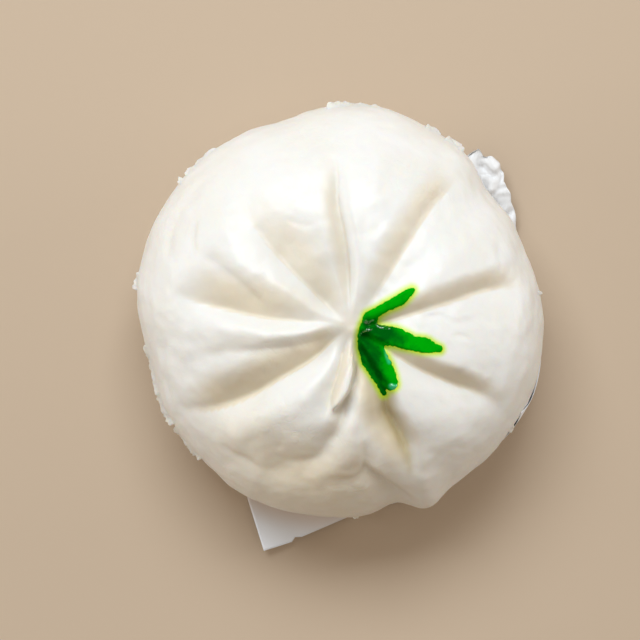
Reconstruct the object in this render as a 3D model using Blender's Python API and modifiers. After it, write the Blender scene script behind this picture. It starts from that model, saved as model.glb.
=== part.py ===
"""Steamed bun with a pleated top, on the square of baking paper it was steamed on.

The bun is one solid of dough. Its dome is gathered into creases that meet at a point just
off the middle, and one end of the gathered dough lies over the creases as a short tongue.
The paper is a thin square sheet. One corner lies loose beyond the bun, one is crumpled, and
one side is bent up under the bulge of the bun's side.

The shape functions work in millimetres on arrays of points, and vertices are written in
metres. The origin is the point of the paper's underside below the middle of the bun, with
+Z up. Azimuths are in degrees, from +X towards +Y, about that middle.
"""
import math
from collections import namedtuple

import bmesh
import bpy
import numpy as np

MM = 0.001

# The plain dome that the folds are laid on
BUN_RADIUS = 52.6
BUN_TOP = 53.0
WIDEST_HEIGHT = 20.1
BASE_HEIGHT = 0.6
BASE_SHARE = 0.82
CROWN_FLATNESS = 2.1
BUN_SEGMENTS = 112
BUN_RINGS = 40
CROWN_SHARE = 0.75
SIDE_SHARE = 0.19

# The paper, and where it is bent up, crumpled and loose
PAPER_SIDE = 88.0
PAPER_THICKNESS = 0.3
PAPER_CENTRE = (8.4, -7.0)
PAPER_TURN = 17.6
PAPER_DIVISIONS = 22
BEND_CLEARANCE = 1.2
BEND_RADIUS = 9.0
BENT_AZIMUTH = -36.0
BENT_SPREAD = 34.0
BENT_LIMIT = 85.0
CRUMPLE_AZIMUTH = 43.0
CRUMPLE_SPREAD = 19.0
CRUMPLE_LIMIT = 24.0
CRUMPLE_RIPPLE = 1.2
CRUMPLE_WAVE = 12.0
CRUMPLE_START = 46.0
CRUMPLE_END = 54.0
LOOSE_AZIMUTH = 250.0
LOOSE_SPREAD = 24.0
LOOSE_LIFT = 3.0
LOOSE_START = 48.0
LOOSE_END = 68.0
EDGE_SHARPNESS = 4

Swell = namedtuple("Swell", "azimuth spread height")
Fold = namedtuple("Fold", "depth left right rise fade course")
Mound = namedtuple("Mound", "x y along across turn height")

# Where the outline seen from above leaves the circle
SWELLS = (
    Swell(20, 20, -2.9),
    Swell(40, 9, -3.0),
    Swell(60, 9, -0.6),
    Swell(81, 9, 0.8),
    Swell(107, 8, -1.0),
    Swell(150, 20, 0.7),
    Swell(195, 13, -1.9),
    Swell(243, 14, 0.9),
    Swell(283, 6, -0.7),
    Swell(294, 6, 2.8),
    Swell(336, 10, 0.4),
)

# The gather, where the dough was pinched together
GATHER = np.array((2.0, -3.8))
GATHER_DIP = 4.6
GATHER_RADIUS = 12.0

# Folds are valleys. A course runs along the bottom, outwards from the gather, and the walls on
# its left and right have their own widths. A valley deepens over the length of its rise, ends
# over that of its fade, and starts at a share of its widths. Creases part the pleats.
WALL_CURVE = 0.7
NARROW_START = 0.42
WIDENING = 24.0
CREASES = (
    Fold(3.3, 6, 20, 9, 12, ((2, -4), (9, -3), (19, 0), (28.5, 3), (36, 5.8), (45, 6.5))),
    Fold(3.8, 5.6, 17, 9, 9, ((2, -4), (6, 1), (11.5, 9.5), (20.3, 23.5), (25, 29.5), (30, 35))),
    Fold(2.4, 5.0, 3.2, 14, 16, ((1.5, -3), (1.5, 10), (0.5, 19), (-1.2, 28), (-1.5, 43))),
    Fold(2.7, 9, 12, 9, 22, ((1, -3), (-7, 5), (-14, 12), (-20, 19), (-27.5, 31))),
    Fold(3.3, 5.5, 11.5, 12, 16, ((2, -4), (-4, -2.3), (-10.5, -2), (-20.5, -1), (-35, 2.4),
                                  (-44, 5.8))),
    Fold(7.0, 9, 11, 12, 24, ((2, -4), (-2, -6.5), (-8, -12), (-15.5, -16.5), (-25, -22),
                              (-33, -24.5), (-39, -24.5), (-45, -23))),
    Fold(3.8, 4.0, 13, 7, 22, ((2.5, -4), (5, -10), (10.4, -20.5), (13.8, -29.1), (16.6, -36),
                               (18, -46))),
    Fold(5.6, 4.8, 13, 5, 12, ((2.5, -4), (8, -7.5), (19.5, -14.3), (29, -18.2), (38, -22.6),
                               (42, -26))),
)

# Lesser folds within the pleats, and where one layer ends over another
LESSER_FOLDS = (
    Fold(2.0, 5, 9, 8, 12, ((1.6, -4), (-0.6, -11), (-2.6, -18), (-5.6, -27))),
    Fold(1.4, 5, 4.5, 8, 14, ((-1, -5.3), (-10.5, -8.2), (-20.4, -9.5), (-30, -10), (-38, -11.5))),
    Fold(1.3, 10, 10, 8, 10, ((-1, -34.5), (-8, -38), (-15, -39.5), (-24, -39.5))),
    Fold(2.2, 7, 6, 12, 10, ((4, -12), (2, -19.5), (-1.8, -26), (-4.6, -30), (-8, -34.5), (-11, -38))),
    Fold(1.4, 3, 8, 7, 6, ((3.5, -37), (9, -42), (13, -45.3), (17, -48.5), (21, -51))),
)

# Broad hollows and swellings
MOUNDS = (
    Mound(-9.5, 15, 12, 8.5, 125, -2.1),
    Mound(-1.5, 9, 9, 5, 60, -1.5),
    Mound(13, -33, 6, 5, -60, 1.0),
    Mound(15, -47, 7, 5, -30, -1.5),
    Mound(26, -28, 12, 9, -45, 0.8),
    Mound(-18, -37, 20, 8, -8, -2.6),
    Mound(7, 31, 9, 9, 0, 0.6),
)

# The tongue, the loose end of the gathered dough
TONGUE_COURSE = ((2.6, -10), (2.0, -14.4), (0.6, -18), (-1.7, -22.8), (-2.9, -26))
TONGUE_HEIGHT = 1.4
TONGUE_HALF_WIDTH = 3.4
TONGUE_ROOT = 6.0
TONGUE_TIP = 6.0


def smooth(low, high, value):
    """Rise from 0 at low to 1 at high along an S curve."""
    share = np.clip((value - low) / (high - low), 0.0, 1.0)
    return share * share * (3.0 - 2.0 * share)


def turn_between(a, b):
    """The smallest turn from azimuth b to azimuth a, signed."""
    return (a - b + 180.0) % 360.0 - 180.0


def bell(value, spread, power=2):
    return np.exp(-np.abs(value / spread) ** power)


def direction(azimuth):
    """Unit vectors towards azimuths, as rows."""
    angle = np.radians(azimuth)
    return np.stack((np.cos(angle), np.sin(angle)), axis=-1)


def outline_radius(azimuth):
    return BUN_RADIUS + sum(swell.height * bell(turn_between(azimuth, swell.azimuth), swell.spread)
                            for swell in SWELLS)


def curve_through(course, steps=4):
    """Points along a smooth curve through the points of a course."""
    knots = np.array(course, float)
    knots = np.vstack((2 * knots[0] - knots[1], knots, 2 * knots[-1] - knots[-2]))
    share = np.arange(steps)[:, None] / steps
    parts = []
    for before, start, finish, after in zip(knots, knots[1:], knots[2:], knots[3:]):
        parts.append(start + share * (finish - before) / 2
                     + share ** 2 * (before - 2.5 * start + 2 * finish - after / 2)
                     + share ** 3 * (1.5 * (start - finish) + (after - before) / 2))
    return np.vstack(parts + [knots[-2]])


def nearest_on_curve(place, curve):
    """Distance from places to a curve, the length passed there, its side, and the curve's length."""
    nearest = np.full(len(place), np.inf)
    passed = np.zeros(len(place))
    side = np.zeros(len(place))
    length = 0.0
    for start, finish in zip(curve, curve[1:]):
        step = math.hypot(*(finish - start))
        run = (finish - start) / step
        offset = place - start
        along = np.clip(offset @ run, 0.0, step)
        apart = offset - along[:, None] * run
        gap = np.hypot(apart[:, 0], apart[:, 1])
        closer = gap < nearest
        nearest[closer] = gap[closer]
        passed[closer] = length + along[closer]
        side[closer] = (run[0] * offset[:, 1] - run[1] * offset[:, 0])[closer]
        length += step
    return nearest, passed, side, length


def fold_depth(place, fold):
    """How deep a fold is at places seen from above."""
    gap, passed, side, length = nearest_on_curve(place, curve_through(fold.course))
    depth = fold.depth * (smooth(0.0, fold.rise, passed)
                          * (1.0 - smooth(length - fold.fade, length, passed)))
    width = np.where(side > 0, float(fold.left), float(fold.right))
    width *= NARROW_START + (1.0 - NARROW_START) * smooth(0.0, WIDENING, passed)
    share = np.clip(gap / width, 0.0, 1.0)
    return depth * (1.0 - smooth(0.0, 1.0, share ** WALL_CURVE))


def tongue_relief(place):
    gap, passed, _, length = nearest_on_curve(place, curve_through(TONGUE_COURSE))
    span = smooth(0.0, TONGUE_ROOT, passed) * (1.0 - smooth(length - TONGUE_TIP, length, passed))
    return TONGUE_HEIGHT * span * (1.0 - smooth(0.0, TONGUE_HALF_WIDTH, gap))


def mound_relief(place):
    raised = np.zeros(len(place))
    for mound in MOUNDS:
        offset = place - np.array((mound.x, mound.y))
        axis = direction(mound.turn)
        along = offset @ axis
        across = axis[0] * offset[:, 1] - axis[1] * offset[:, 0]
        raised += mound.height * bell(along, mound.along) * bell(across, mound.across)
    return raised


def relief(place):
    """Height of the dough's folds over its plain dome, at places seen from above."""
    creases = np.sqrt(sum(fold_depth(place, fold) ** 2 for fold in CREASES))
    lesser = sum(fold_depth(place, fold) for fold in LESSER_FOLDS)
    offset = place - GATHER
    dip = GATHER_DIP * bell(np.hypot(offset[:, 0], offset[:, 1]), GATHER_RADIUS)
    return mound_relief(place) + tongue_relief(place) - creases - lesser - dip


def dome(travel):
    """Radius share, height and normal of the plain dome, from its top to the middle of its base.

    The top and the side are quarters of rounded ellipses, and the base is flat."""
    crown_height = BUN_TOP - WIDEST_HEIGHT
    side_height = WIDEST_HEIGHT - BASE_HEIGHT
    side_share = 1.0 - BASE_SHARE
    crown = np.clip(travel / CROWN_SHARE, 0.0, 1.0) * math.pi / 2
    side = np.clip((travel - CROWN_SHARE) / SIDE_SHARE, 0.0, 1.0) * math.pi / 2
    left = np.clip((1.0 - travel) / (1.0 - CROWN_SHARE - SIDE_SHARE), 0.0, 1.0)
    radius = (np.sin(crown) ** (2 / CROWN_FLATNESS) - side_share * (1.0 - np.cos(side))) * left
    height = WIDEST_HEIGHT + crown_height * np.cos(crown) - side_height * np.sin(side)
    on_crown = travel < CROWN_SHARE
    out = np.where(on_crown, CROWN_FLATNESS * radius ** (CROWN_FLATNESS - 1) / BUN_RADIUS,
                   2 * np.cos(side) / (side_share * BUN_RADIUS))
    up = np.where(on_crown, 2 * np.cos(crown) / crown_height, -2 * np.sin(side) / side_height)
    size = np.hypot(out, up)
    return radius, height, out / size, up / size


def dough_points(azimuth, travel):
    """Points of the dough's skin, in millimetres."""
    radius, height, out, up = dome(travel)
    outward = direction(azimuth)
    place = outward * (radius * outline_radius(azimuth))[:, None]
    place += np.where(travel < CROWN_SHARE, 1.0 - radius, 0.0)[:, None] * GATHER
    rise = relief(place) * smooth(BASE_HEIGHT, WIDEST_HEIGHT, height)
    return np.column_stack((place + outward * (out * rise)[:, None], height + up * rise))


def bent_up(reach, azimuth, limit):
    """Where paper that lay at a reach goes when it is bent up to a limit in degrees."""
    start = outline_radius(azimuth) * BASE_SHARE + BEND_CLEARANCE
    extra = np.maximum(reach - start, 0.0)
    angle = np.minimum(extra / BEND_RADIUS, np.radians(limit))
    straight = extra - angle * BEND_RADIUS
    out = BEND_RADIUS * np.sin(angle) + straight * np.cos(angle)
    up = BEND_RADIUS * (1 - np.cos(angle)) + straight * np.sin(angle)
    return reach - extra + out, up


def paper_points(flat):
    """Where places of the flat sheet go on the finished paper, in millimetres."""
    azimuth = np.degrees(np.arctan2(flat[:, 1], flat[:, 0]))
    reach = np.hypot(flat[:, 0], flat[:, 1])
    bent = bell(turn_between(azimuth, BENT_AZIMUTH), BENT_SPREAD, EDGE_SHARPNESS)
    crumpled = bell(turn_between(azimuth, CRUMPLE_AZIMUTH), CRUMPLE_SPREAD, EDGE_SHARPNESS)
    loose = bell(turn_between(azimuth, LOOSE_AZIMUTH), LOOSE_SPREAD, EDGE_SHARPNESS)
    out, up = bent_up(reach, azimuth, BENT_LIMIT * bent + CRUMPLE_LIMIT * crumpled)
    ripple = 1.0 + np.cos(2 * math.pi * (azimuth - CRUMPLE_AZIMUTH) / CRUMPLE_WAVE)
    up = up + CRUMPLE_RIPPLE * crumpled * ripple * smooth(CRUMPLE_START, CRUMPLE_END, reach)
    up = up + LOOSE_LIFT * loose * smooth(LOOSE_START, LOOSE_END, reach)
    return np.column_stack((direction(azimuth) * out[:, None], up))


def read_points(shape):
    return np.array([vertex.co for vertex in shape.verts])


def write_points(shape, points):
    for vertex, point in zip(shape.verts, points):
        vertex.co = point * MM


def make_material(name, colour, roughness):
    material = bpy.data.materials.new(name)
    material.use_nodes = True
    shader = material.node_tree.nodes["Principled BSDF"]
    shader.inputs["Base Color"].default_value = (*colour, 1.0)
    shader.inputs["Roughness"].default_value = roughness
    shader.inputs["Metallic"].default_value = 0.0
    return material


def add_object(name, shape, material, collection):
    mesh = bpy.data.meshes.new(name)
    shape.to_mesh(mesh)
    shape.free()
    mesh.shade_smooth()
    mesh.materials.append(material)
    made = bpy.data.objects.new(name, mesh)
    collection.objects.link(made)
    return made


def make_bun(collection):
    """The dough: a sphere whose rings are laid along the dome, the side and the base."""
    ball = bmesh.new()
    bmesh.ops.create_uvsphere(ball, u_segments=BUN_SEGMENTS, v_segments=BUN_RINGS, radius=1.0)
    x, y, z = read_points(ball).T
    azimuth = np.degrees(np.arctan2(y, x))
    travel = np.arccos(np.clip(z, -1.0, 1.0)) / math.pi
    write_points(ball, dough_points(azimuth, travel))
    dough = make_material("dough", (0.80, 0.785, 0.75), 0.42)
    return add_object("bun", ball, dough, collection)


def make_paper(collection):
    """The paper: a flat grid turned and bent to its place, and given its thickness upwards."""
    sheet = bmesh.new()
    bmesh.ops.create_grid(sheet, x_segments=PAPER_DIVISIONS, y_segments=PAPER_DIVISIONS,
                          size=PAPER_SIDE / 2)
    along, across, _ = read_points(sheet).T
    flat = (np.array(PAPER_CENTRE) + along[:, None] * direction(PAPER_TURN)
            + across[:, None] * direction(PAPER_TURN + 90))
    write_points(sheet, paper_points(flat))
    white = make_material("paper", (0.88, 0.90, 0.94), 0.6)
    paper = add_object("paper", sheet, white, collection)
    wall = paper.modifiers.new("thickness", "SOLIDIFY")
    wall.thickness = PAPER_THICKNESS * MM
    wall.offset = 1.0
    return paper


def main():
    for old in list(bpy.data.objects):
        bpy.data.objects.remove(old, do_unlink=True)
    collection = bpy.data.collections.new("steamed_bun")
    bpy.context.scene.collection.children.link(collection)
    make_bun(collection)
    make_paper(collection)


main()
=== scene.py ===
"""The looks of the steamed bun: its dough, the green dye mark beside the gather, the torn
skin along its rim, a crumb, and the baking paper that it rests on.

Shapes are worked out in millimetres and written in metres. Azimuths are in degrees from +X
towards +Y, about the middle of the bun.
"""
import math
from collections import namedtuple

import bmesh
import bpy
import numpy as np
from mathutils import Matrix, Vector, noise
from mathutils.bvhtree import BVHTree


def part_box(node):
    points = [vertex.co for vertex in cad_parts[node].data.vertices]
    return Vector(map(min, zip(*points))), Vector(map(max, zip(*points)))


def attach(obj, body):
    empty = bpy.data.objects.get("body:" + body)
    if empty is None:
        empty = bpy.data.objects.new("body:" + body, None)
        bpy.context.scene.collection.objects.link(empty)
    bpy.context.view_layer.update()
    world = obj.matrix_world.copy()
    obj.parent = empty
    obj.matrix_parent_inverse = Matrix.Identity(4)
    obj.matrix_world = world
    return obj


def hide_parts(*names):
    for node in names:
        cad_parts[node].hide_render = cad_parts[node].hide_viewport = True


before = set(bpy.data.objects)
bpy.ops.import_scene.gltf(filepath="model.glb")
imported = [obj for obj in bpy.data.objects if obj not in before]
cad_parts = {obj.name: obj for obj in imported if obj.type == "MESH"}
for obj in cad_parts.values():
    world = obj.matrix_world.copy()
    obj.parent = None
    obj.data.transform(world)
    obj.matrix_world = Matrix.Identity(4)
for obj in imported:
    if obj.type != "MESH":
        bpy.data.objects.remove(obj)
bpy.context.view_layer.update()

MM = 0.001
bun_low, bun_high = (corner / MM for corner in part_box("bun"))

# The plain dome that the folds are laid on
BUN_RADIUS = (bun_high.x - bun_low.x + bun_high.y - bun_low.y) / 4
BASE_HEIGHT = bun_low.z
DOME_TOP = 53.0
WIDEST_SHARE = 0.38
WIDEST_HEIGHT = WIDEST_SHARE * DOME_TOP
BASE_SHARE = 0.82
CROWN_FLATNESS = 2.1
RIM_ROUNDNESS = 2.0
PROFILE_STEPS = 400

# The dough's rings crowd towards the gather, and are sparse on the side and the base
DOUGH_SEGMENTS = 400
DOUGH_RINGS = 244
MIDDLE_SHARE = 0.5
MIDDLE_WEIGHT = 1.8
SIDE_WEIGHT = 0.7
BASE_WEIGHT = 0.25

# Where the outline seen from above leaves the circle
Swell = namedtuple("Swell", "azimuth spread height")
SWELLS = (
    Swell(20, 20, -2.9),
    Swell(40, 9, -3.0),
    Swell(60, 9, -0.6),
    Swell(81, 9, 0.8),
    Swell(107, 8, -1.0),
    Swell(150, 20, 0.7),
    Swell(195, 13, -1.9),
    Swell(243, 14, 0.9),
    Swell(283, 6, -0.7),
    Swell(294, 6, 2.8),
    Swell(336, 10, 0.4),
)

# The gather, where the dough was pinched together
GATHER = np.array((2.0, -3.8))
GATHER_DIP = 4.6
GATHER_RADIUS = 12.0

# Folds are valleys in the dough. A course runs along the bottom, from the gather outwards, in
# millimetres. The walls on its left and right have their own widths, and on one of them, the
# wall in shade, shade is painted in a darker yellow. The valley deepens over the length of its
# rise and ends over that of its fade.
Fold = namedtuple("Fold", "moist depth left right rise fade course")
LEFT = 1
RIGHT = -1

# A fold starts narrow and has its full widths further out. Its walls curve, and its bottom is
# a little rounded
NARROW_START = 0.42
WIDENING = 24.0
WALL_CURVE = 0.58
BOTTOM_ROUNDNESS = 0.55
FOLD_STEPS = 6

# How deep a fold is where its painted shade is full, how far up its other wall that painted
# shade goes, and from what share of a wall it fades
SHADE_DEPTH = 4.0
SHADE_ASIDE = 0.3
SHADE_START = 0.3

# Creases part the pleats
CREASES = (
    Fold(LEFT, 3.2, 6, 20, 9, 10, ((2, -4), (9, -3), (19, 0), (28.5, 3.0), (36, 5.6), (42, 6.5),
                                   (47.5, 6.9))),
    Fold(LEFT, 3.0, 6.8, 17, 22, 9, ((2, -4), (6, 1), (11.5, 9.5), (20.3, 23.5), (25, 29.5),
                                     (30, 35))),
    Fold(LEFT, 2.4, 5.0, 3.2, 14, 16, ((1.5, -3), (1.5, 10), (0.5, 19), (-1.2, 28), (-1.5, 43))),
    Fold(RIGHT, 2.7, 9, 12, 9, 22, ((1, -3), (-7, 5), (-14, 12), (-20, 19), (-27.5, 31))),
    Fold(RIGHT, 3.7, 5.5, 12.0, 24, 16, ((2, -4), (-4, -2.3), (-10.5, -2), (-20.5, -1),
                                         (-35, 2.4), (-44, 5.8))),
    Fold(RIGHT, 6.3, 9, 11.0, 12, 24, ((2, -4), (-2, -6.5), (-8, -12), (-15.5, -16.5),
                                       (-25, -22), (-33, -24.5), (-39, -24.5), (-45, -23))),
    Fold(RIGHT, 4.8, 3.8, 9.5, 8, 18, ((2.5, -4), (5, -10), (10.4, -20.5), (11.8, -25.7),
                                       (13.8, -29.1), (15.7, -32.8), (16.6, -36), (17.2, -39.5),
                                       (18, -46))),
    Fold(LEFT, 3.8, 4.8, 13, 5, 16, ((2.5, -4), (8, -7.5), (19.5, -14.3), (29, -18.2),
                                     (34, -20.2), (38, -22.6), (42, -26))),
)

# Lesser folds within the pleats, and where one layer ends over another
LESSER_FOLDS = (
    Fold(LEFT, 1.6, 9, 2.5, 9, 9, ((10.6, -20), (11.8, -25.7), (13.8, -29.1), (15.7, -32.8),
                                   (16.6, -36), (17.2, -39.5))),
    Fold(LEFT, 3.0, 3.0, 8.5, 8, 10, ((1.6, -4), (0.2, -10), (-0.9, -14.6), (-2.2, -18.4),
                                      (-3.6, -23.4), (-5.6, -28.5))),
    Fold(RIGHT, 0.7, 7, 4.0, 9, 6, ((-17, -1), (-22, 3.5), (-27.6, 9), (-33, 13), (-37, 15.5))),
    Fold(RIGHT, 1.1, 5, 4.5, 8, 14, ((-1, -5.3), (-10.5, -8.2), (-20.4, -9.5), (-30, -10),
                                     (-38, -11.5))),
    Fold(RIGHT, 1.3, 10, 10, 8, 10, ((-1, -34.5), (-8, -38), (-15, -39.5), (-24, -39.5))),
    Fold(RIGHT, 0.35, 2.2, 3.0, 5, 6, ((-31, -34), (-25, -38), (-20, -41), (-12, -41))),
    Fold(RIGHT, 2.3, 7, 1.8, 7, 5, ((4.4, -11.5), (3.4, -16), (2.2, -20), (0.6, -23.2),
                                    (-1.4, -25.6), (-3.4, -27.6))),
    Fold(RIGHT, 1.8, 5.5, 6.5, 7, 10, ((2.0, -19.5), (0.6, -24.5), (-1.2, -29.5),
                                       (-4.6, -34.5), (-9.5, -38))),
    Fold(RIGHT, 0.45, 6, 1.2, 6, 4, ((4.3, -30), (5.3, -35), (5.3, -39.5), (3.5, -41.8),
                                     (-2, -43))),
    Fold(LEFT, 0.22, 1.6, 2.8, 3, 6, ((20, -1.6), (25, -0.8), (29, -2.6), (35, -1.6))),
    Fold(LEFT, 0.2, 1.4, 2.4, 2, 3, ((27, -7.4), (29.5, -5.8), (34, -7.6))),
    Fold(LEFT, 0.45, 2.4, 2.4, 3, 4, ((-36, 23.5), (-37.2, 17.5), (-35.8, 12))),
    Fold(LEFT, 0.35, 3.2, 3.2, 4, 6, ((-44, 12), (-42.5, 21), (-37.5, 30), (-31, 37))),
    Fold(LEFT, 0.12, 2.0, 2.0, 2, 3, ((-15, 24), (-10, 22), (-5.6, 22.6))),
    Fold(RIGHT, 1.5, 1.8, 8, 7, 6, ((3.5, -37), (9, -42), (13, -45.3), (17, -48.5), (21, -51))),
)

# Broad hollows and swellings: the middle of each, its spreads along its turn and across it,
# that turn in degrees, and how far it's raised
Mound = namedtuple("Mound", "x y along across turn height")
MOUNDS = (
    Mound(-9.5, 15, 12, 8.5, 125, -2.1),
    Mound(-1.5, 9, 9, 5, 60, -1.5),
    Mound(13, -33, 6, 5, -60, 1.0),
    Mound(15, -47, 7, 5, -30, -1.5),
    Mound(-27, -34, 2.2, 3.2, 0, 0.5),
    Mound(26, -28, 12, 9, -45, 0.8),
    Mound(-18, -37, 20, 8, -8, -1.8),
    Mound(7, 31, 9, 9, 0, 0.6),
    Mound(2.0, -37, 7, 3, 60, 0.7),
    Mound(-32, 18, 12, 8, 100, 1.3),
    Mound(10.5, -30.5, 7, 3.6, 115, -1.2),
)

# Bands of raised dough. A course is x, y and half width, in millimetres, and the height falls
# off between the inner and outer distances from a band's edge. Distances from bands are only
# worked out up to FAR
Band = namedtuple("Band", "height inner outer course")
BAND_STEPS = 3
FAR = 8.0
BANDS = (
    # tongue, the loose end of the gathered dough
    Band(1.7, 0.6, 0.8, ((2.6, -10, -0.8), (2.0, -14.4, 0.9), (0.6, -18, 1.5), (-0.6, -20.5, 1.5),
                         (-1.7, -22.8, 0.7), (-2.6, -24.8, -0.5))),
    # slanting ridge beside it
    Band(0.6, 1.5, 3.0, ((4.5, -20.0, -2.5), (4, -25, 0.5), (3, -29, 1.5), (1.5, -34.0, 2.0),
                         (-2, -38.5, 1.5), (-6.5, -42, 1.0))),
)

# Small unevenness of the skin
UNEVEN_RISE = 0.4
UNEVEN_SPREAD = 12.0

# The low side over the loose paper is painted darker and yellower too, as shade and warm
# bounced light
LOW_AZIMUTH = 256.0
LOW_SPREAD = 36.0
LOW_REACH = 42.0
LOW_WIDTH = 11.0
LOW_SHADE = 0.9

# The gather itself is painted the same way, as shade
GATHER_SHADE = 0.55
GATHER_SHADE_RADIUS = 4.5

# The dye mark, painted beside the gather. Courses are as in the bands
DYE_STROKES = (
    ((17.2, 5.4, 0.65), (15.6, 4.1, 1.15), (13.6, 2.6, 1.35), (11.4, 1.6, 1.2), (8.7, 0, 1.1),
     (7, -1.3, 1.5)),
    ((6.8, -1.8, 1.6), (6.5, -5, 2.5), (7, -8.2, 3.1), (7.7, -11.2, 3.0)),
    ((9.2, -5.7, 2.4), (12.6, -6.1, 2.3), (15.3, -7, 2.1), (17.5, -7.8, 1.75), (20, -8.2, 1.85),
     (22.2, -8.8, 1.25), (24, -9.2, 0.75)),
    ((9.4, -11.9, 2), (10.7, -14.1, 1.85), (11.4, -16.3, 1.9), (12, -17.8, 1.6)),
    ((6.5, -12.1, 1.5), (7.7, -14.9, 1.1), (9.3, -17.8, 0.85), (10.3, -20.3, 0.5)),
)
# Where it's darkest
DYE_DEEP = (
    ((5.6, -6, 0.8), (6.4, -9.5, 2.0), (7.4, -12.5, 1.4), (8.8, -17, 0.7), (10, -20, 0.4)),
    ((6.6, -4.4, 1.2), (11, -5.2, 1.2), (14, -6.6, 0.6)),
)
# Where glints are painted on it, in a lighter and bluer green
DYE_PAINTED_GLINTS = (
    ((12.0, -18.4, 0.1), (13.2, -18.9, 0.4), (14.0, -18.6, 0.2)),
    ((10.9, -9.4, 0.0), (11.3, -10.8, 0.2), (11.6, -12.4, 0.0)),
)
# Wrinkles in its skin, which catch the light
DYE_WRINKLES = (
    ((5.6, -2.3, 0.1), (6.6, -2.9, 0.15), (7.6, -2.3, 0.1), (9.6, -3.5, 0.15), (11.6, -3.8, 0.05)),
    ((4.6, -5.6, 0.05), (5.8, -4.9, 0.15), (7.0, -4.2, 0.1)),
    ((10.8, -10.2, 0.1), (11.2, -11.4, 0.15)),
    ((12.0, -18.2, 0.1), (13.2, -18.6, 0.2), (14.6, -18.0, 0.05)),
)
# The corners and spacing of its grid, how sharply strokes meet, its rise over the dough, how
# thick its body is, how wide its rounded edge, and how often its level is blurred
DYE_LOW = np.array((2.0, -22.5))
DYE_HIGH = np.array((26.5, 7.5))
DYE_SPACING = 0.14
DYE_BLEND = 3.2
DYE_THICKNESS = 0.2
DYE_BODY = 0.3
DYE_EDGE = 0.6
DYE_POOLING = 8
RAGGED_EDGE = 0.22
RAGGED_SPREAD = 0.8
WRINKLE_HEIGHT = 0.25
# How far above the dome rays start that look for the dough
RAY_START = 10.0

# Over what distances outside the edges of their bands these fade out
HALO_REACH = (0.0, 1.8)
WRINKLE_REACH = (-0.1, 0.45)
GLINT_REACH = (0.1, 0.5)
DEEP_REACH = (-1.0, 2.8)
PAINTED_GLINT_REACH = (0.0, 0.9)
BLEED_REACH = (-1.2, 2.4)
FAINT_REACH = (-1.5, 3.0)
CLEFT_REACH = (-0.2, 1.0)

# Where the dye ran down a crease and was soaked up
BLEED = ((8.6, -15, 0.5), (10.3, -21, 1.3), (11.3, -25.7, 1.3), (13.2, -29.3, 1.0),
         (15.2, -33, 0.7), (16.3, -37, 0.3), (16.9, -40, -0.4))
FAINT_BLEED = ((5.5, -13, 1.5), (6, -24, 1.5))
FAINT_SHARE = 0.3

# The square sheet of baking paper. It clings to the dough on one side, is crumpled at one
# corner, and is loose at another, where its edge was torn a little
PAPER_SIDE = 88.0
PAPER_CELLS = 150
PAPER_CENTRE = np.array((8.4, -7.0))
PAPER_TURN = 17.6
PAPER_THICKNESS = 0.12
PAPER_CLEARANCE = 0.35
CLING_AZIMUTH = -36.0
CLING_SPREAD = 34.0

# The loose corner rises a little towards its tip, and next to the dough it's painted darker and
# warmer, as the dough's shadow and warm bounced light
LOOSE_AZIMUTH = 250.0
LOOSE_SPREAD = 24.0
LOOSE_LIFT = 3.0
LOOSE_REACH = (48.0, 68.0)
PAPER_SHADOW_REACH = (53.0, 60.0)

# How far in its torn edge lies, by the length passed along it, and how far in that is felt
TORN_EDGE = ((0.0, 0.0), (7.9, 0.0), (8.6, 1.0), (10.5, 0.45), (25.0, 1.75), (37.0, 1.0),
             (88.0, 0.0))
TORN_FADE = 20.0

# The crumpled corner, the coarse and fine folds in it, and what bunching it up adds to its
# height
CRUMPLE_AZIMUTH = 43.0
CRUMPLE_SPREAD = 19.0
CRUMPLE_REACH = (43.0, 51.0)
CRUMPLE_LIFT = 4.0
BUNCHING = 0.05
COARSE_RISE = 3.5
COARSE_SPREAD = 4.5
FINE_RISE = 1.4
FINE_SPREAD = 1.9
COARSE_PUSH = 0.9
COARSE_TURN = 2.0
# How far out the corner was squeezed back to, and how far its folds are pushed out, by azimuth
CRUMPLE_EDGE = (
    (20.0, 49.0, -2.0),
    (23.5, 50.0, -0.5),
    (28.0, 51.5, 1.4),
    (37.5, 52.6, 1.0),
    (39.6, 53.4, 0.8),
    (40.6, 55.8, 1.5),
    (46.5, 56.8, 0.0),
    (47.8, 55.2, -0.3),
    (50.0, 55.2, 0.0),
    (51.3, 53.0, 0.0),
    (52.2, 49.0, -2.0),
)
# The dark cleft that parts its two lobes
CLEFT = ((36.6, 38.2, 0.2), (38.0, 36.6, 0.5), (39.6, 35.3, 0.2))
CLEFT_DEPTH = 2.5

# Bits of torn skin that stand off the rim: the azimuths between which they run, and how far
# out they reach at both ends
Flake = namedtuple("Flake", "start end first last")
FLAKES = (
    Flake(226.5, 214.2, 1.2, 0.9),
    Flake(214.0, 189.0, 1.3, 0.6),
    Flake(174.2, 168.6, 1.3, 0.3),
    Flake(142.2, 139.6, 1.0, 0.8),
    Flake(139.2, 127.0, 0.7, 0.4),
    Flake(94.6, 79.0, 1.5, 0.3),
    Flake(66.0, 60.5, 0.8, 0.6),
    Flake(59.5, 52.5, 0.7, 0.9),
    Flake(6.6, 4.6, 1.0, 0.7),
    Flake(327.0, 324.0, 0.6, 0.6),
)
# Heights between which they hang, and the shares of that where each starts and how far it
# hangs. Flakes narrower than FLAKE_WIDE hang less, and all hang least at their corners. Their
# tops are staggered, and waver
FLAKE_TOP = 27.0
FLAKE_FOOT = 19.5
FLAKE_START = 0.25
FLAKE_HANG = 0.8
FLAKE_WIDE = 3.0
FLAKE_CORNER = 0.25
FLAKE_STAGGER = 0.35
FLAKE_WAVER = 0.12
FLAKE_WAVER_SPREAD = 2.5
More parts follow.
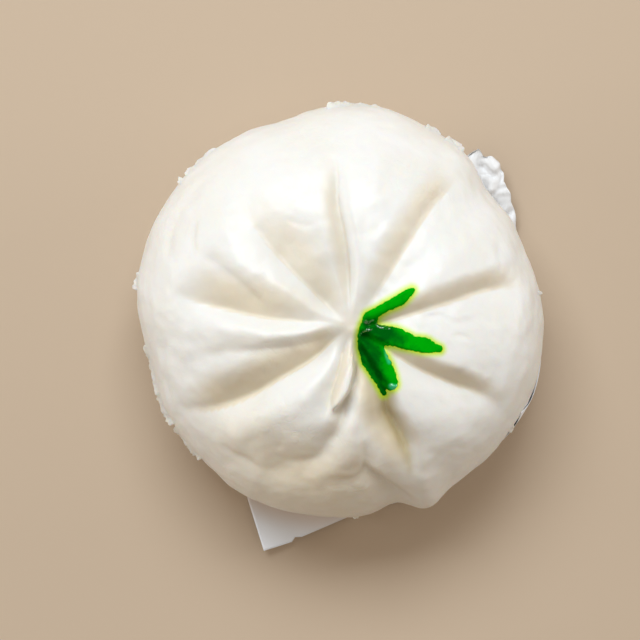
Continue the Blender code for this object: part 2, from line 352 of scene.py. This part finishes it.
# Their roots lie in the skin, and their ragged feet stand off it
FLAKE_ROOT = 0.2
FLAKE_CURL = 1.4
FLAKE_TAPER = 0.7
FLAKE_RAGGED = 0.3
FLAKE_TEETH = 0.7
FLAKE_RIPPLE = 0.5
FLAKE_RIPPLE_SPREAD = 1.6
FLAKE_THICKNESS = 0.4
FLAKE_TINT = 0.1
FLAKE_COLUMNS = 3
FLAKE_ROWS = 12

# A crumb of dough that fell beside the bun
CRUMB_PLACE = np.array((3.8, -52.6, 1.3))
CRUMB_SIZE = np.array((0.9, 1.3, 0.9))
CRUMB_LUMPS = 0.35
CRUMB_LUMPS_ROUND = 1.6

# Colours, as red, green, blue and alpha, and the strength of the sky's light
DOUGH = (0.80, 0.79, 0.765, 1.0)
MOTTLED_DOUGH = (0.78, 0.765, 0.72, 1.0)
# Painted shade: a darker yellow for shaded crease walls, the low side and the gather
SHADE_TINT_DOUGH = (0.76, 0.67, 0.515, 1.0)
SOAKED_DOUGH = (0.44, 0.34, 0.13, 1.0)
DYED_DOUGH = (0.58, 0.78, 0.02, 1.0)
DYE = (0.0, 0.345, 0.002, 1.0)
DEEP_DYE = (0.0, 0.09, 0.004, 1.0)
# Painted glints on the dye
PAINTED_GLINT_DYE = (0.03, 0.55, 0.24, 1.0)
PAPER = (0.90, 0.935, 1.0, 1.0)
CRUMPLED_PAPER = (0.78, 0.775, 0.775, 1.0)
# Painted shadow of the dough on the paper
SHADOWED_PAPER = (0.74, 0.64, 0.58, 1.0)
FLOOR = (0.54, 0.42, 0.305, 1.0)
SKY = (1.0, 0.89, 0.765, 1.0)
SKY_STRENGTH = 0.42

# Half of the floor's side, in metres
FLOOR_HALF = 3.0

# The camera looks straight down, a little to the left of the bun's middle. Its field is the
# width that it sees at its aim, its lens and sensor are in millimetres, and its sight in metres
CAMERA_AIM = Vector((-5.6, -2.0, 20.0)) * MM
CAMERA_FIELD = 163.9 * MM
CAMERA_LENS = 200.0
SENSOR_WIDTH = 36.0
CAMERA_SIGHT = 10.0


def smooth(low, high, value):
    """Rise from 0 at low to 1 at high along an S curve."""
    share = np.clip((value - low) / (high - low), 0.0, 1.0)
    return share * share * (3.0 - 2.0 * share)


def turn_between(a, b):
    """The smallest turn from azimuth b to azimuth a, signed."""
    return (a - b + 180.0) % 360.0 - 180.0


def bell(value, spread):
    """1 at 0, falling off over a spread to both sides."""
    return np.exp(-(value / spread) ** 2)


def sector(azimuth, middle, spread):
    """1 at azimuths well within a spread of the middle one, 0 well outside it."""
    return np.exp(-(turn_between(azimuth, middle) / spread) ** 4)


def direction(azimuth):
    """Unit vectors towards azimuths, as rows."""
    angle = np.radians(azimuth)
    return np.stack((np.cos(angle), np.sin(angle)), axis=-1)


def outline_radius(azimuth):
    """How far out the outline seen from above lies."""
    return BUN_RADIUS + sum(s.height * bell(turn_between(azimuth, s.azimuth), s.spread)
                            for s in SWELLS)


def curve_through(course, steps):
    """Points along a smooth curve through the points of a course, steps between each two."""
    knots = np.array(course, float)
    knots = np.vstack((2 * knots[0] - knots[1], knots, 2 * knots[-1] - knots[-2]))
    share = np.arange(steps)[:, None] / steps
    parts = []
    for before, start, finish, after in zip(knots, knots[1:], knots[2:], knots[3:]):
        parts.append(start + share * (finish - before) / 2
                     + share ** 2 * (before - 2.5 * start + 2 * finish - after / 2)
                     + share ** 3 * (1.5 * (start - finish) + (after - before) / 2))
    return np.vstack(parts + [knots[-2]])


def nearest_on_curve(place, curve):
    """Distance from places to a curve, the length passed there, the side that they are on,
    above 0 on the left, and the curve's length."""
    nearest = np.full(len(place), np.inf)
    passed = np.zeros(len(place))
    side = np.zeros(len(place))
    length = 0.0
    for start, finish in zip(curve, curve[1:]):
        step = math.hypot(*(finish - start))
        run = (finish - start) / step
        offset = place - start
        along = np.clip(offset @ run, 0.0, step)
        apart = offset - along[:, None] * run
        gap = np.hypot(apart[:, 0], apart[:, 1])
        closer = gap < nearest
        nearest[closer] = gap[closer]
        passed[closer] = length + along[closer]
        side[closer] = (run[0] * offset[:, 1] - run[1] * offset[:, 0])[closer]
        length += step
    return nearest, passed, side, length


def near_curve(place, curve, margin):
    """Which places could be within a margin of a curve."""
    return np.all((place > curve.min(axis=0) - margin) & (place < curve.max(axis=0) + margin),
                  axis=-1)


def fold_at(place, fold):
    """How deep a fold is at places seen from above, and how much shade is painted on them."""
    curve = curve_through(fold.course, FOLD_STEPS)
    sunk = np.zeros(len(place))
    moist = np.zeros(len(place))
    near = near_curve(place, curve, max(fold.left, fold.right))
    gap, passed, side, length = nearest_on_curve(place[near], curve)
    depth = fold.depth * (smooth(0.0, fold.rise, passed)
                          * (1.0 - smooth(length - fold.fade, length, passed)))
    width = np.where(side > 0, fold.left, fold.right) * 1.0
    width *= NARROW_START + (1.0 - NARROW_START) * smooth(0.0, WIDENING, passed)
    gap = np.hypot(gap, BOTTOM_ROUNDNESS) - BOTTOM_ROUNDNESS
    share = np.clip(gap / width, 0.0, 1.0)
    sunk[near] = depth * (1.0 - smooth(0.0, 1.0, share ** WALL_CURVE))
    # Painted shade on the wall in shade, and a little way up the other wall
    wall = np.where(side * fold.moist > 0, width, np.minimum(width, SHADE_ASIDE))
    moist[near] = (np.clip(depth / SHADE_DEPTH, 0.0, 1.0)
                   * (1.0 - smooth(SHADE_START, 1.0, gap / wall)))
    return sunk, moist


def folds_at(place):
    """How far all folds sink the dough, and how much shade is painted on it."""
    creases, shade_creases = zip(*(fold_at(place, fold) for fold in CREASES))
    lesser, shade_lesser = zip(*(fold_at(place, fold) for fold in LESSER_FOLDS))
    sunk = np.sqrt(sum(depth ** 2 for depth in creases)) + sum(lesser)
    return sunk, np.maximum.reduce(shade_creases + shade_lesser)


def band_distance(place, course):
    """Distances from places to the edge of a band, negative inside it, up to FAR."""
    curve = curve_through(course, BAND_STEPS)
    nearest = np.full(len(place), FAR)
    near = near_curve(place, curve[:, :2], FAR)
    spots = place[near]
    gaps = []
    for start, finish in zip(curve, curve[1:]):
        run = finish[:2] - start[:2]
        offset = spots - start[:2]
        share = np.clip(offset @ run / (run @ run), 0.0, 1.0)
        apart = offset - share[:, None] * run
        gaps.append(np.hypot(apart[:, 0], apart[:, 1]) - start[2] - share * (finish[2] - start[2]))
    nearest[near] = np.minimum.reduce(gaps)
    return np.minimum(nearest, FAR)


def band_relief(place):
    """How far all bands raise the dough."""
    return sum(band.height * (1.0 - smooth(-band.inner, band.outer,
                                           band_distance(place, band.course)))
               for band in BANDS)


def mound_relief(place):
    """How far all mounds raise the dough."""
    raised = 0.0
    for mound in MOUNDS:
        offset = place - np.array((mound.x, mound.y))
        axis = direction(mound.turn)
        along = offset @ axis / mound.along
        across = (axis[0] * offset[..., 1] - axis[1] * offset[..., 0]) / mound.across
        raised = raised + mound.height * np.exp(-along ** 2 - across ** 2)
    return raised


def relief(place):
    """Height of the dough's folds over the plain dome, at places seen from above."""
    offset = place - GATHER
    dip = GATHER_DIP * bell(np.hypot(offset[..., 0], offset[..., 1]), GATHER_RADIUS)
    return mound_relief(place) + band_relief(place) - folds_at(place)[0] - dip


def dome_profile():
    """The plain dome from its top to the middle of its base, by steps of even ring spacing.

    Columns are the share of rings passed, radius share, height, and outward and upward parts
    of the skin's normal."""
    angle = np.linspace(0.0, math.pi / 2, PROFILE_STEPS)
    rise = DOME_TOP - WIDEST_HEIGHT
    crown = np.stack((np.sin(angle) ** (2 / CROWN_FLATNESS),
                      WIDEST_HEIGHT + rise * np.cos(angle) ** (2 / RIM_ROUNDNESS)))
    side = np.stack((BASE_SHARE + (1 - BASE_SHARE) * np.cos(angle),
                     WIDEST_HEIGHT - (WIDEST_HEIGHT - BASE_HEIGHT) * np.sin(angle)))
    base = np.stack((BASE_SHARE * (1 - angle / angle[-1]), np.full_like(angle, BASE_HEIGHT)))
    radius, height = np.hstack((crown, side[:, 1:], base[:, 1:]))
    steps = np.hypot(np.diff(radius) * BUN_RADIUS, np.diff(height))
    steps[radius[1:] < MIDDLE_SHARE] *= MIDDLE_WEIGHT
    count = len(angle) - 1
    steps[count:2 * count] *= SIDE_WEIGHT
    steps[2 * count:] *= BASE_WEIGHT / np.where(radius[2 * count + 1:] < MIDDLE_SHARE,
                                                MIDDLE_WEIGHT, 1.0)
    passed = np.concatenate(((0.0,), np.cumsum(steps)))
    out, up = -np.gradient(height), np.gradient(radius * BUN_RADIUS)
    size = np.hypot(out, up)
    return passed / passed[-1], radius, height, out / size, up / size


def unevenness(points):
    """Small random rise of the skin at points in millimetres."""
    return np.array([UNEVEN_RISE * noise.fractal(Vector(point) / UNEVEN_SPREAD, 0.7, 2.1, 3)
                     for point in points])


def dough_points(azimuth, travel):
    """Points of the dough's skin, in millimetres, by azimuth and share of rings passed."""
    passed, *columns = dome_profile()
    radius, height, out, up = (np.interp(travel, passed, column) for column in columns)
    outward = direction(azimuth)
    place = outward * (radius * outline_radius(azimuth))[:, None]
    on_crown = height >= WIDEST_HEIGHT
    place += np.where(on_crown, 1.0 - radius, 0.0)[:, None] * GATHER
    rise = relief(place) * smooth(BASE_HEIGHT, WIDEST_HEIGHT, height)
    points = np.column_stack((place, height))
    rise += unevenness(points)
    points[:, :2] += outward * (out * rise)[:, None]
    points[:, 2] += up * rise
    return points


def read_points(mesh):
    """The points of a mesh, as rows."""
    points = np.empty(len(mesh.vertices) * 3)
    mesh.vertices.foreach_get("co", points)
    return points.reshape(-1, 3)


def write_points(mesh, points):
    """Move the points of a mesh to places in millimetres."""
    mesh.vertices.foreach_set("co", (points * MM).astype(np.float32).ravel())
    mesh.update()


def write_attribute(mesh, name, values):
    """Keep a number for each point of a mesh, for its material to read."""
    attribute = mesh.attributes.new(name, "FLOAT", "POINT")
    attribute.data.foreach_set("value", np.asarray(values, np.float32))


def mesh_of(name, shape):
    """A smooth mesh from a finished bmesh."""
    mesh = bpy.data.meshes.new(name)
    shape.to_mesh(mesh)
    shape.free()
    mesh.shade_smooth()
    return mesh


def add_piece(name, mesh, material, node=None):
    """Put a finished mesh in the scene, riding on the bun's one body."""
    mesh.materials.append(material)
    piece = bpy.data.objects.new(name, mesh)
    bpy.context.scene.collection.objects.link(piece)
    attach(piece, "root")
    if node:
        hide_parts(node)
    return piece


def give_body(piece, thickness):
    """Thicken a sheet on its underside."""
    body = piece.modifiers.new("body", "SOLIDIFY")
    body.thickness = thickness * MM
    body.offset = -1.0


class Socket:
    """A node's output that takes part in Python sums: each operator adds its Math node."""

    def __init__(self, finish, link):
        self.finish = finish
        self.link = link

    def math(self, operation, *terms):
        return self.finish.node("Math", {"operation": operation}, dict(enumerate(terms)))

    def __add__(self, other):
        return self.math("ADD", self, other)

    def __sub__(self, other):
        return self.math("SUBTRACT", self, other)

    def __rsub__(self, other):
        return self.math("SUBTRACT", other, self)

    def __mul__(self, other):
        return self.math("MULTIPLY", self, other)

    __radd__ = __add__
    __rmul__ = __mul__


class Finish:
    """A material under construction."""

    def __init__(self, name):
        self.material = bpy.data.materials.new(name)
        self.material.use_nodes = True
        self.tree = self.material.node_tree
        self.shader = self.tree.nodes["Principled BSDF"]

    def node(self, kind, settings=None, inputs=None, output=0):
        """Add a node: its settings first, then the values or links of its sockets."""
        made = self.tree.nodes.new("ShaderNode" + kind)
        for name, value in (settings or {}).items():
            if name == "stops":
                self.lay_stops(made.color_ramp, value)
            else:
                setattr(made, name, value)
        for name, value in (inputs or {}).items():
            self.feed(made.inputs[name], value)
        return Socket(self, made.outputs[output])

    def lay_stops(self, ramp, stops):
        while len(ramp.elements) < len(stops):
            ramp.elements.new(1.0)
        for element, (place, colour) in zip(ramp.elements, stops):
            element.position = place
            element.color = colour

    def feed(self, socket, value):
        if isinstance(value, Socket):
            self.tree.links.new(value.link, socket)
        else:
            socket.default_value = value

    def surface(self, **inputs):
        """Set the shader's own sockets, named with _ for each space."""
        for name, value in inputs.items():
            self.feed(self.shader.inputs[name.replace("_", " ")], value)
        return self.material

    def noise(self, scale, detail, roughness=0.5, distortion=0.0):
        places = self.node("TexCoord", output="Object")
        return self.node("TexNoise", {}, {"Vector": places, "Scale": scale, "Detail": detail,
                                          "Roughness": roughness, "Distortion": distortion})

    def attribute(self, name):
        return self.node("Attribute", {"attribute_name": name}, output="Fac")

    def ramp(self, value, low, high):
        """0 below low and 1 above high, with an S curve between."""
        return self.node("MapRange", {"interpolation_type": "SMOOTHSTEP"},
                         {"Value": value, "From Min": low, "From Max": high})

    def blend(self, share, first, second):
        """Go from the first colour to the second."""
        return self.node("Mix", {"data_type": "RGBA"}, {0: share, 6: first, 7: second}, output=2)

    def bump(self, height, strength, distance, normal=None):
        inputs = {"Height": height, "Strength": strength, "Distance": distance}
        if normal:
            inputs["Normal"] = normal
        return self.node("Bump", {}, inputs)


def dough_finish():
    finish = Finish("dough")
    mottle = finish.ramp(finish.noise(scale=70.0, detail=4.0), low=0.35, high=0.7)
    colour = finish.blend(mottle, DOUGH, MOTTLED_DOUGH)
    # Painted shade in a darker yellow on shaded crease walls, the low side and the gather; the
    # torn skin gets a slight even tint of it
    colour = finish.blend(finish.attribute("moist"), colour, SHADE_TINT_DOUGH)
    colour = finish.blend(finish.attribute("bleed") * 0.65, colour, SOAKED_DOUGH)
    colour = finish.blend(finish.attribute("halo"), colour, DYED_DOUGH)
    grain = finish.bump(finish.noise(scale=900.0, detail=3.0), strength=0.2, distance=0.0002)
    lumps = finish.bump(finish.noise(scale=170.0, detail=2.0, roughness=0.4),
                        strength=0.22, distance=0.0008, normal=grain)
    line = finish.noise(scale=230.0, detail=1.5, roughness=0.4, distortion=0.9) - 0.5
    patch = finish.ramp(finish.noise(scale=38.0, detail=1.0), low=0.5, high=0.78)
    skin = finish.bump(patch * finish.ramp(line * line, low=0.0, high=0.003),
                       strength=0.17, distance=0.00035, normal=lumps)
    return finish.surface(Base_Color=colour, Roughness=0.42, Subsurface_Weight=0.35,
                          Subsurface_Radius=(1.0, 0.62, 0.35), Subsurface_Scale=0.002,
                          Normal=skin)


def dye_finish():
    finish = Finish("green_dye")
    deep = finish.attribute("deep")
    mottle = finish.ramp(finish.noise(scale=380.0, detail=2.0), low=0.3, high=0.75)
    colour = finish.blend(finish.ramp(deep + 0.5 * mottle, low=0.1, high=1.3), DYE, DEEP_DYE)
    # Painted glints: a lighter, bluer green at two small spots
    colour = finish.blend(finish.attribute("pale") * 0.8, colour, PAINTED_GLINT_DYE)
    ripple = finish.noise(scale=1100.0, detail=2.0)
    specks = finish.ramp(finish.noise(scale=1900.0, detail=1.0), low=0.42, high=0.58)
    wet = finish.attribute("wet") * specks
    return finish.surface(Base_Color=colour, Roughness=0.3, Specular_IOR_Level=0.0,
                          Coat_Weight=wet, Coat_Roughness=0.09, Coat_IOR=2.2,
                          Normal=finish.bump(ripple, strength=0.4, distance=0.0003))


def paper_finish():
    finish = Finish("baking_paper")
    colour = finish.blend(finish.attribute("crumpled"), PAPER, CRUMPLED_PAPER)
    # Painted shadow: darker and warmer next to the dough
    colour = finish.blend(finish.attribute("damp"), colour, SHADOWED_PAPER)
    return finish.surface(Base_Color=colour, Roughness=0.6)


def dye_distance(place):
    """Distance outside the dye mark's edge, negative inside it."""
    strokes = sum(np.exp(-DYE_BLEND * band_distance(place, stroke)) for stroke in DYE_STROKES)
    return -np.log(strokes + 1e-30) / DYE_BLEND


def dough_ball(name):
    """The whole of the dough, with its painted shade and how dyed it is."""
    shape = bmesh.new()
    bmesh.ops.create_uvsphere(shape, u_segments=DOUGH_SEGMENTS, v_segments=DOUGH_RINGS,
                              radius=1.0)
    mesh = mesh_of(name, shape)
    x, y, z = read_points(mesh).T
    azimuth = np.degrees(np.arctan2(y, x))
    travel = np.arccos(np.clip(z, -1.0, 1.0)) / math.pi
    points = dough_points(azimuth, travel)
    write_points(mesh, points)
    place = points[:, :2]
    on_top = points[:, 2] > WIDEST_HEIGHT
    write_attribute(mesh, "halo", on_top * (1.0 - smooth(*HALO_REACH, dye_distance(place))))
    bleed = 1.0 - smooth(*BLEED_REACH, band_distance(place, BLEED))
    faint = FAINT_SHARE * (1.0 - smooth(*FAINT_REACH, band_distance(place, FAINT_BLEED)))
    write_attribute(mesh, "bleed", on_top * np.maximum(bleed, faint))
    # Painted shade, darker and yellower: on the low side, at the gather and on crease walls in
    # shade
    low = (LOW_SHADE * bell(turn_between(azimuth, LOW_AZIMUTH), LOW_SPREAD)
           * bell(np.hypot(*place.T) - LOW_REACH, LOW_WIDTH))
    gathered = GATHER_SHADE * bell(np.hypot(*(place - GATHER).T), GATHER_SHADE_RADIUS)
    creased = on_top * folds_at(place)[1]
    write_attribute(mesh, "moist", np.maximum.reduce((creased, gathered, low)))
    return mesh


def skin_tree(mesh):
    """What rays are cast at: all faces of a mesh."""
    return BVHTree.FromPolygons([v.co for v in mesh.vertices],
                                [f.vertices for f in mesh.polygons])


def lay_on(place, below):
    """Heights of a surface under places seen from above."""
    top = (DOME_TOP + RAY_START) * MM
    down = Vector((0.0, 0.0, -1.0))
    return np.array([below.ray_cast(Vector((x * MM, y * MM, top)), down)[0].z / MM
                     for x, y in place])


def blurred(heights):
    """One pass of a small blur over a grid of heights."""
    padded = np.pad(heights, 1, mode="edge")
    across = (padded[:, :-2] + 2.0 * padded[:, 1:-1] + padded[:, 2:]) / 4.0
    return (across[:-2] + 2.0 * across[1:-1] + across[2:]) / 4.0


def dye_film(name, dough):
    """A thin glossy layer of dye that lies on the dough and fills its finest hollows."""
    cells = np.round((DYE_HIGH - DYE_LOW) / DYE_SPACING).astype(int)
    shape = bmesh.new()
    bmesh.ops.create_grid(shape, x_segments=cells[0], y_segments=cells[1], size=0.5)
    mesh = mesh_of(name, shape)
    place = DYE_LOW + (read_points(mesh)[:, :2] + 0.5) * (DYE_HIGH - DYE_LOW)
    column, row = np.round((place - DYE_LOW) / (DYE_HIGH - DYE_LOW) * cells).astype(int).T
    height = lay_on(place, skin_tree(dough))
    level = np.empty(cells[::-1] + 1)
    level[row, column] = height
    for _ in range(DYE_POOLING):
        level = blurred(level)
    ragged = np.array([noise.noise(Vector((x, y, 0.0)) / RAGGED_SPREAD) for x, y in place])
    edge = dye_distance(place) + RAGGED_EDGE * ragged
    inside = np.clip(-edge / DYE_EDGE, 0.0, 1.0)
    pooled = np.maximum(level[row, column] - height, 0.0)
    raised = (DYE_THICKNESS + pooled) * np.sqrt(1.0 - (1.0 - inside) ** 2)
    wrinkle = np.minimum.reduce([band_distance(place, course) for course in DYE_WRINKLES])
    raised += WRINKLE_HEIGHT * (1.0 - smooth(*WRINKLE_REACH, wrinkle)) * inside
    write_points(mesh, np.column_stack((place, height + raised)))
    write_attribute(mesh, "wet", 1.0 - smooth(*GLINT_REACH, wrinkle))
    deep = np.minimum(*(band_distance(place, course) for course in DYE_DEEP))
    write_attribute(mesh, "deep", 1.0 - smooth(*DEEP_REACH, deep))
    # Where glints are painted
    pale = np.minimum(*(band_distance(place, course) for course in DYE_PAINTED_GLINTS))
    write_attribute(mesh, "pale", 1.0 - smooth(*PAINTED_GLINT_REACH, pale))
    write_attribute(mesh, "edge", edge)
    return cut_outside(mesh)


def cut_outside(mesh):
    """Drop the faces of a film that lie wholly outside its edge."""
    shape = bmesh.new()
    shape.from_mesh(mesh)
    edge = shape.verts.layers.float["edge"]
    outside = [face for face in shape.faces if all(vert[edge] > 0 for vert in face.verts)]
    bmesh.ops.delete(shape, geom=outside, context="FACES")
    shape.to_mesh(mesh)
    shape.free()
    return mesh


def torn_skin(name):
    """Flakes that hang from the skin by their tops and stand off it at their ragged feet."""
    passed, _, height, *_ = dome_profile()
    top, foot = np.interp((FLAKE_TOP, FLAKE_FOOT), height[::-1][:-1], passed[::-1][:-1])
    everything = bmesh.new()
    for flake in FLAKES:
        length = flake.start - flake.end
        shape = bmesh.new()
        bmesh.ops.create_grid(shape, x_segments=round(4 + FLAKE_COLUMNS * length),
                              y_segments=FLAKE_ROWS, size=0.5)
        mesh = mesh_of(name, shape)
        along, down = (read_points(mesh)[:, :2] + 0.5).T
        turned = length * along
        azimuth = flake.start - turned
        ragged = np.array([noise.fractal(Vector((turn * FLAKE_TEETH, flake.start, 0.0)),
                                         0.8, 2.0, 3) for turn in azimuth])
        arch = np.sqrt(np.sin(math.pi * along).clip(0.0, 1.0))
        hang = (down * FLAKE_HANG * (1.0 - np.exp(-length / FLAKE_WIDE))
                * (FLAKE_CORNER + (1.0 - FLAKE_CORNER) * arch))
        hang *= 1.0 + FLAKE_RAGGED * ragged
        start = FLAKE_STAGGER * noise.noise(Vector((flake.start, 0.0, 0.0)))
        start += FLAKE_WAVER * np.array([noise.noise(Vector((turn / FLAKE_WAVER_SPREAD, 0.0, 5.0)))
                                         for turn in azimuth])
        points = dough_points(azimuth, top + (foot - top) * (FLAKE_START + start + hang))
        ends = smooth(0.0, FLAKE_TAPER, np.minimum(turned, length - turned))
        lift = (flake.first + (flake.last - flake.first) * along) * (1.0 + FLAKE_RAGGED * ragged)
        lift = (lift + FLAKE_ROOT) * down ** FLAKE_CURL * ends - FLAKE_ROOT
        lift += FLAKE_RIPPLE * down * np.array([noise.noise(Vector(point) / FLAKE_RIPPLE_SPREAD)
                                                for point in points])
        points[:, :2] += direction(azimuth) * lift[:, None]
        write_points(mesh, points)
        everything.from_mesh(mesh)
        bpy.data.meshes.remove(mesh)
    mesh = mesh_of(name, everything)
    # The flakes get the same darker yellow, slightly and evenly all over
    write_attribute(mesh, "moist", np.full(len(mesh.vertices), FLAKE_TINT))
    return mesh


def crumb_of_dough(name):
    """A small lumpy ball."""
    shape = bmesh.new()
    bmesh.ops.create_uvsphere(shape, u_segments=40, v_segments=24, radius=1.0)
    mesh = mesh_of(name, shape)
    ball = read_points(mesh)
    swollen = np.array([1.0 + CRUMB_LUMPS * noise.noise(Vector(point) * CRUMB_LUMPS_ROUND)
                        for point in ball])
    write_points(mesh, CRUMB_PLACE + ball * swollen[:, None] * CRUMB_SIZE)
    return mesh


def clinging(reach, azimuth):
    """Where paper that lay flat at a reach comes to rest when it clings to the dough's side."""
    _, radius, height, out, up = (column[::-1] for column in dome_profile())
    radius = radius * BUN_RADIUS
    length = np.concatenate(((0.0,), np.cumsum(np.hypot(np.diff(radius), np.diff(height)))))
    radius, height, out, up = (np.interp(reach, length, column)
                               for column in (radius, height, out, up))
    stretched = outline_radius(azimuth) / BUN_RADIUS
    return (radius * stretched + out * PAPER_CLEARANCE,
            np.maximum(height + up * PAPER_CLEARANCE - BASE_HEIGHT, 0.0))


def room_under(place, above):
    """Heights of a surface's underside over places seen from above, endless beyond its rim."""
    up = Vector((0.0, 0.0, 1.0))
    hits = [above.ray_cast(Vector((x * MM, y * MM, 0.0)), up)[0] for x, y in place]
    return np.array([hit.z / MM if hit else math.inf for hit in hits])


def sheet_of_paper(name, dough):
    """The square sheet, bent where it clings, is crumpled or lies loose."""
    shape = bmesh.new()
    bmesh.ops.create_grid(shape, x_segments=PAPER_CELLS, y_segments=PAPER_CELLS,
                          size=PAPER_SIDE / 2)
    mesh = mesh_of(name, shape)
    along, across = read_points(mesh)[:, :2].T
    torn = np.interp(along + PAPER_SIDE / 2, *zip(*TORN_EDGE))
    across = across + torn * np.clip(1.0 - (across + PAPER_SIDE / 2) / TORN_FADE, 0.0, 1.0)
    place = (PAPER_CENTRE + along[:, None] * direction(PAPER_TURN)
             + across[:, None] * direction(PAPER_TURN + 90))
    reach = np.hypot(*place.T)
    azimuth = np.degrees(np.arctan2(*place.T[::-1]))
    height = np.zeros_like(reach)
    cling_reach, cling_height = clinging(reach, azimuth)
    cling = sector(azimuth, CLING_AZIMUTH, CLING_SPREAD)
    crumple = sector(azimuth, CRUMPLE_AZIMUTH, CRUMPLE_SPREAD) * smooth(*CRUMPLE_REACH, reach)
    loose = sector(azimuth, LOOSE_AZIMUTH, LOOSE_SPREAD)
    height = height + cling * cling_height + LOOSE_LIFT * loose * smooth(*LOOSE_REACH, reach)
    reach = reach + cling * (cling_reach - reach)
    turns, limits, pushes = zip(*CRUMPLE_EDGE)
    over = crumple * np.maximum(reach - np.interp(azimuth, turns, limits), 0.0)
    held = place * (1.0 - over / np.maximum(reach, 1.0))[:, None]
    rise, push, turn = np.array([crumpled(Vector((x, y, 0.0))) for x, y in held]).T
    reach = reach - over + crumple * (push + np.interp(azimuth, turns, pushes))
    lift = crumple * (CRUMPLE_LIFT + rise) + BUNCHING * over
    place = direction(azimuth + crumple * turn) * reach[:, None]
    room = room_under(place, skin_tree(dough)) - PAPER_CLEARANCE
    height = np.minimum(height + lift, np.maximum(height, room))
    cleft = 1.0 - smooth(*CLEFT_REACH, band_distance(place, CLEFT))
    height = height - CLEFT_DEPTH * cleft
    write_points(mesh, np.column_stack((place, height + PAPER_THICKNESS)))
    write_attribute(mesh, "crumpled", crumple)
    write_attribute(mesh, "damp", loose * (1.0 - smooth(*PAPER_SHADOW_REACH, reach)))
    return mesh


def crumpled(place):
    """Rise, push outwards and turn in degrees of the crumpled paper at a place."""
    coarse = place / COARSE_SPREAD
    rise = (COARSE_RISE * abs(noise.noise(coarse))
            + FINE_RISE * abs(noise.noise(place / FINE_SPREAD)))
    push = COARSE_PUSH * noise.noise(coarse + Vector((7.0, 0.0, 0.0)))
    turn = COARSE_TURN * noise.noise(coarse + Vector((0.0, 9.0, 0.0)))
    return rise, push, turn


def make_stage():
    """A plain pale floor."""
    shape = bmesh.new()
    bmesh.ops.create_grid(shape, x_segments=1, y_segments=1, size=FLOOR_HALF)
    mesh = mesh_of("floor", shape)
    finish = Finish("pale_floor")
    mesh.materials.append(finish.surface(Base_Color=FLOOR, Roughness=0.8))
    floor = bpy.data.objects.new("floor", mesh)
    bpy.context.scene.collection.objects.link(floor)


def add_light(name, azimuth, elevation, distance, size, power, colour):
    """A soft light that faces the bun."""
    light = bpy.data.lights.new(name, "AREA")
    light.shape = "RECTANGLE"
    light.size, light.size_y = size
    light.energy = power
    light.color = colour
    aim = Vector((0.0, 0.0, WIDEST_HEIGHT * MM))
    x, y = direction(azimuth) * math.cos(math.radians(elevation))
    back = Vector((x, y, math.sin(math.radians(elevation))))
    lamp = bpy.data.objects.new(name, light)
    lamp.location = aim + back * distance
    lamp.rotation_euler = back.to_track_quat("Z", "Y").to_euler()
    bpy.context.scene.collection.objects.link(lamp)


def light_scene():
    """A key light from behind, a low fill on either side, and a warm sky."""
    add_light("key", azimuth=101, elevation=54, distance=1.2, size=(1.0, 0.5), power=12.7,
              colour=(0.88, 0.96, 1.03))
    for name, azimuth in (("east_fill", 15), ("west_fill", 175)):
        add_light(name, azimuth=azimuth, elevation=10, distance=1.2, size=(0.5, 0.3), power=3.1,
                  colour=(0.95, 0.98, 1.0))
    world = bpy.data.worlds.new("studio")
    world.use_nodes = True
    sky = world.node_tree.nodes["Background"]
    sky.inputs["Color"].default_value = SKY
    sky.inputs["Strength"].default_value = SKY_STRENGTH
    bpy.context.scene.world = world
    bpy.context.scene.view_settings.view_transform = "Standard"


def add_camera():
    """A long lens straight above the bun."""
    camera = bpy.data.cameras.new("camera")
    camera.lens = CAMERA_LENS
    camera.sensor_width = SENSOR_WIDTH
    camera.clip_end = CAMERA_SIGHT
    seen = bpy.data.objects.new("camera", camera)
    distance = CAMERA_FIELD * CAMERA_LENS / SENSOR_WIDTH
    seen.location = CAMERA_AIM + Vector((0.0, 0.0, distance))
    bpy.context.scene.collection.objects.link(seen)
    bpy.context.scene.camera = seen


make_stage()
light_scene()
add_camera()
dough = dough_ball("bun_dough")
dough_skin = dough_finish()
add_piece("bun_dough", dough, dough_skin, "bun")
torn = add_piece("torn_skin", torn_skin("torn_skin"), dough_skin)
give_body(torn, FLAKE_THICKNESS)
add_piece("crumb", crumb_of_dough("crumb"), dough_skin)
dye = add_piece("dye_mark", dye_film("dye_mark", dough), dye_finish())
give_body(dye, DYE_BODY)
sheet = sheet_of_paper("baking_paper", dough)
paper = add_piece("baking_paper", sheet, paper_finish(), "paper")
give_body(paper, PAPER_THICKNESS)
